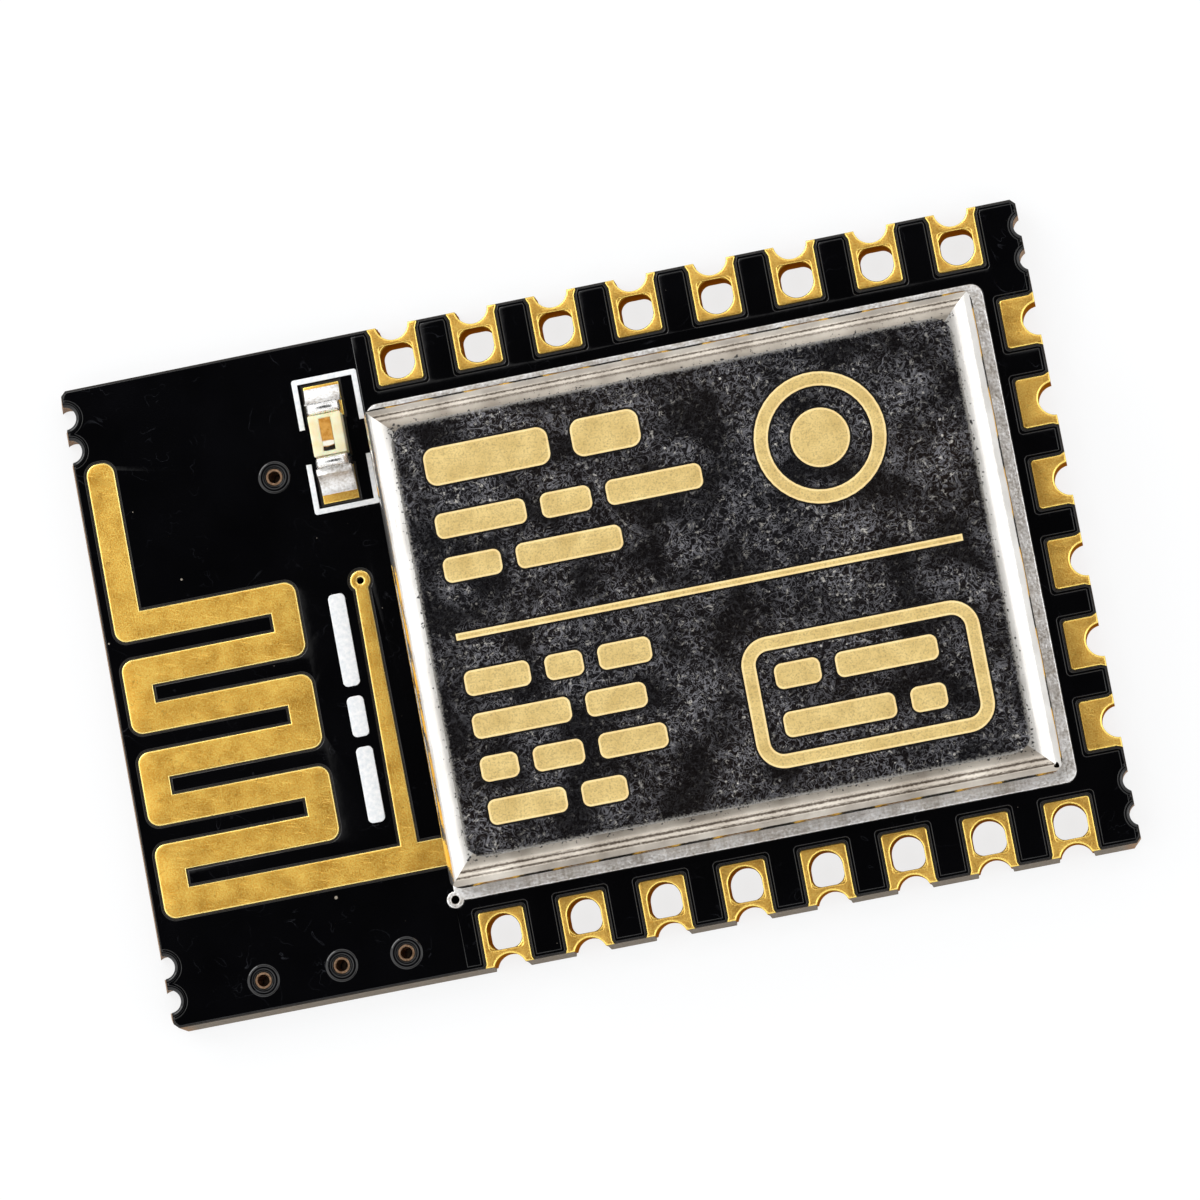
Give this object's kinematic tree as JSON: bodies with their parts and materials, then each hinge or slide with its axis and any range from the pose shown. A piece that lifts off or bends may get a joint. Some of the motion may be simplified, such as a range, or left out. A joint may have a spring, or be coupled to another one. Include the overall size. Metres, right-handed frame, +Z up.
{
  "type": "wireless module",
  "caption": "Small black circuit module with plated edge pads, a folded gold antenna, a rounded metal shield can and a chip lamp, to be soldered flat to a larger board.",
  "frame": {"origin": "middle of the board, on the plane of the lower pads", "axes": "+X along the board from the antenna to the plain end, +Y across it, +Z up through the lid of the can"},
  "size_m": [0.0242, 0.0162, 0.003],
  "materials": {
    "amber_strip": "amber resin",
    "bare_copper": "copper, lightly tinned",
    "chip_ceramic": "fired ceramic with metal ends",
    "chip_resistor": "glazed dark film on ceramic with metal ends",
    "clear_resin": "milky clear resin",
    "dark_print": "black tinted metal with fine scratches",
    "glass_fibre_core": "resin-bound glass cloth, sawn edge",
    "gold_pad": "gold over nickel on copper, satin",
    "gold_trace": "gold over nickel on copper, fine grain",
    "moulding_compound": "matte black epoxy",
    "nickel_silver": "polished drawn sheet with fine wear",
    "pale_gold_print": "pale gold ink with a brushed grain",
    "solder": "bright flowed solder",
    "solder_mask": "glossy black cured ink",
    "tinned_metal": "bright tin plate",
    "white_print": "matte white ink"
  },
  "bodies": {
    "root": {"antenna": "gold_trace", "board": "glass_fibre_core", "can_land": "solder", "capacitor_1": "chip_ceramic", "capacitor_2": "chip_ceramic", "capacitor_3": "chip_ceramic", "capacitor_4": "chip_ceramic", "capacitor_5": "chip_ceramic", "capacitor_6": "chip_ceramic", "chip_lands": "bare_copper", "crystal_base": "chip_ceramic", "crystal_lid": "tinned_metal", "flash_body": "moulding_compound", "flash_legs": "tinned_metal", "ground_copper": "bare_copper", "inductor": "chip_ceramic", "led_body": "clear_resin", "led_cap_1": "tinned_metal", "led_cap_2": "tinned_metal", "led_lands": "gold_pad", "led_solder_1": "solder", "led_solder_2": "solder", "led_strip": "amber_strip", "lid_field": "dark_print", "lid_marks": "pale_gold_print", "mask_bottom": "solder_mask", "mask_top": "solder_mask", "pad_01": "gold_pad", "pad_02": "gold_pad", "pad_03": "gold_pad", "pad_04": "gold_pad", "pad_05": "gold_pad", "pad_06": "gold_pad", "pad_07": "gold_pad", "pad_08": "gold_pad", "pad_09": "gold_pad", "pad_10": "gold_pad", "pad_11": "gold_pad", "pad_12": "gold_pad", "pad_13": "gold_pad", "pad_14": "gold_pad", "pad_15": "gold_pad", "pad_16": "gold_pad", "pad_17": "gold_pad", "pad_18": "gold_pad", "pad_19": "gold_pad", "pad_20": "gold_pad", "pad_21": "gold_pad", "pad_22": "gold_pad", "resistor_1": "chip_resistor", "resistor_2": "chip_resistor", "resistor_3": "chip_resistor", "shield_can": "nickel_silver", "silk_print": "white_print", "soc_body": "moulding_compound", "soc_contacts": "tinned_metal", "test_via_1": "bare_copper", "test_via_2": "bare_copper", "test_via_3": "bare_copper", "test_via_4": "bare_copper"}
  },
  "joints": []
}
